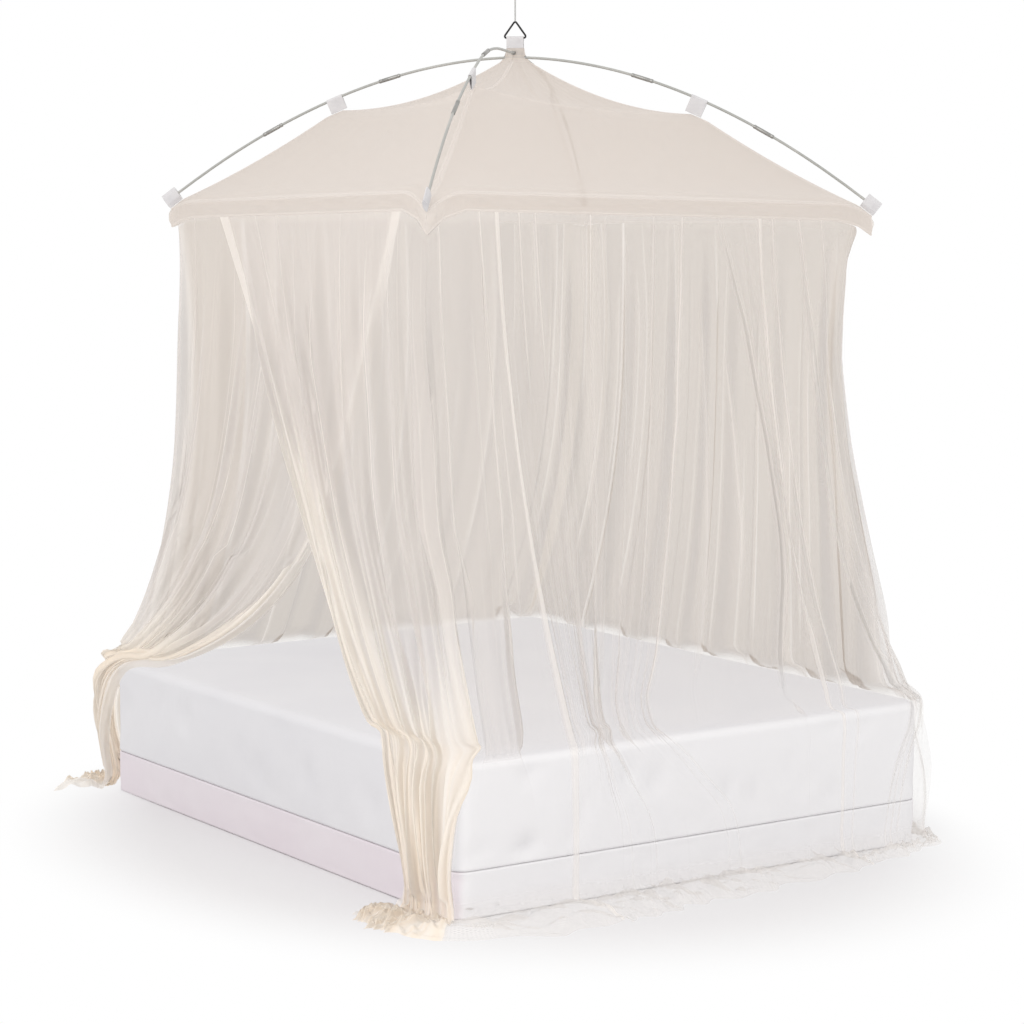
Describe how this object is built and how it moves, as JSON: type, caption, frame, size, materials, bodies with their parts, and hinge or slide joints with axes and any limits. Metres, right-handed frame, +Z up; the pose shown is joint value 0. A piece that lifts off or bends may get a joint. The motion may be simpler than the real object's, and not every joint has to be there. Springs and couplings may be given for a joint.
{
  "type": "mosquito net canopy with its bent rods and hanging cord, over a plain double bed",
  "caption": "Square net tent on crossed bent rods, hung by a cord over a plain bed; its curtains drape to the floor and part on one side.",
  "frame": {"origin": "on the floor under the middle of the bed", "axes": "+X along the foot end away from the entry side, +Y from the foot to the head of the bed, +Z up"},
  "size_m": [2.1172, 2.5634, 2.572],
  "materials": {
    "net": "fine cream net",
    "webbing": "woven white webbing",
    "rod": "grey glass fibre",
    "ferrule": "dull sleeve",
    "ring": "black",
    "cord": "grey braided cord",
    "hook": "plated",
    "mattress": "plain white cover",
    "base": "plain pale cover"
  },
  "bodies": {
    "root": {"bed_base": "base", "mattress": "mattress", "roof_gore_foot": "net", "roof_gore_right": "net", "roof_gore_head": "net", "roof_gore_left": "net", "valance_foot": "net", "valance_right": "net", "valance_head": "net", "valance_left": "net", "curtain_foot_left": "net", "curtain_foot": "net", "curtain_foot_right": "net", "curtain_head_right": "net", "curtain_head_left": "net", "rod_low": "rod", "rod_high": "rod", "ferrule_low_1": "ferrule", "ferrule_low_2": "ferrule", "ferrule_low_3": "ferrule", "ferrule_low_4": "ferrule", "ferrule_low_5": "ferrule", "ferrule_high_1": "ferrule", "ferrule_high_2": "ferrule", "ferrule_high_3": "ferrule", "ferrule_high_4": "ferrule", "ferrule_high_5": "ferrule", "tab_foot_left": "webbing", "tab_foot_right": "webbing", "tab_head_right": "webbing", "tab_head_left": "webbing", "pocket_foot_left": "webbing", "pocket_foot_right": "webbing", "pocket_head_right": "webbing", "pocket_head_left": "webbing", "peak_collar": "net", "peak_loop": "webbing", "peak_ring": "ring", "hanging_cord": "cord", "ceiling_hook": "hook", "ceiling_plate": "hook"}
  },
  "joints": []
}
